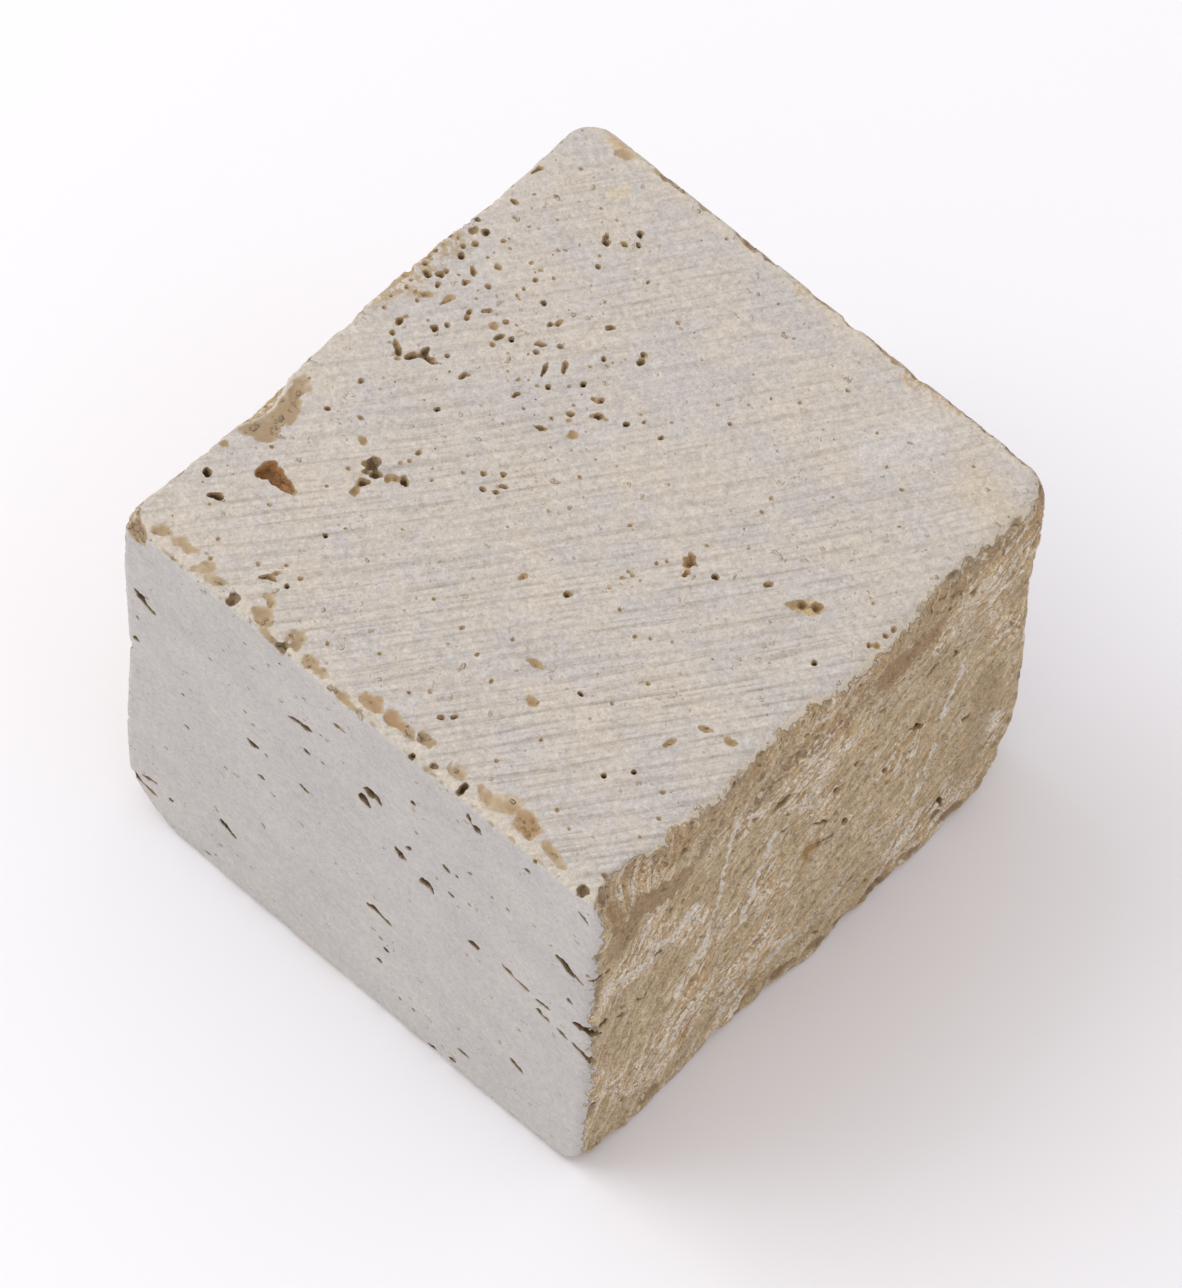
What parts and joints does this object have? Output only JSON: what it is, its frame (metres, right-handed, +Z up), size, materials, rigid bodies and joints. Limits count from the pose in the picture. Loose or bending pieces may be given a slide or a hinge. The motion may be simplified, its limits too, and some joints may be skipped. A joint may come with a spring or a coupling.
{
  "type": "travertine paver",
  "caption": "Tumbled travertine sett, a near-cubic paving block with sawn top, bed and sides, split ends and worn arrises, laid on a bed with its pitted sawn face up.",
  "frame": {"origin": "centre of the bed, the sawn face that the block lies on", "axes": "+Z up out of the sawn top; +Y out of one sawn side; +X out of the split end that the picture shows, whose foot is set back slightly"},
  "size_m": [0.1024, 0.104, 0.085],
  "materials": {
    "travertine": "sawn and tumbled, matt, open pored"
  },
  "bodies": {
    "root": {"paver": "travertine"}
  },
  "joints": []
}
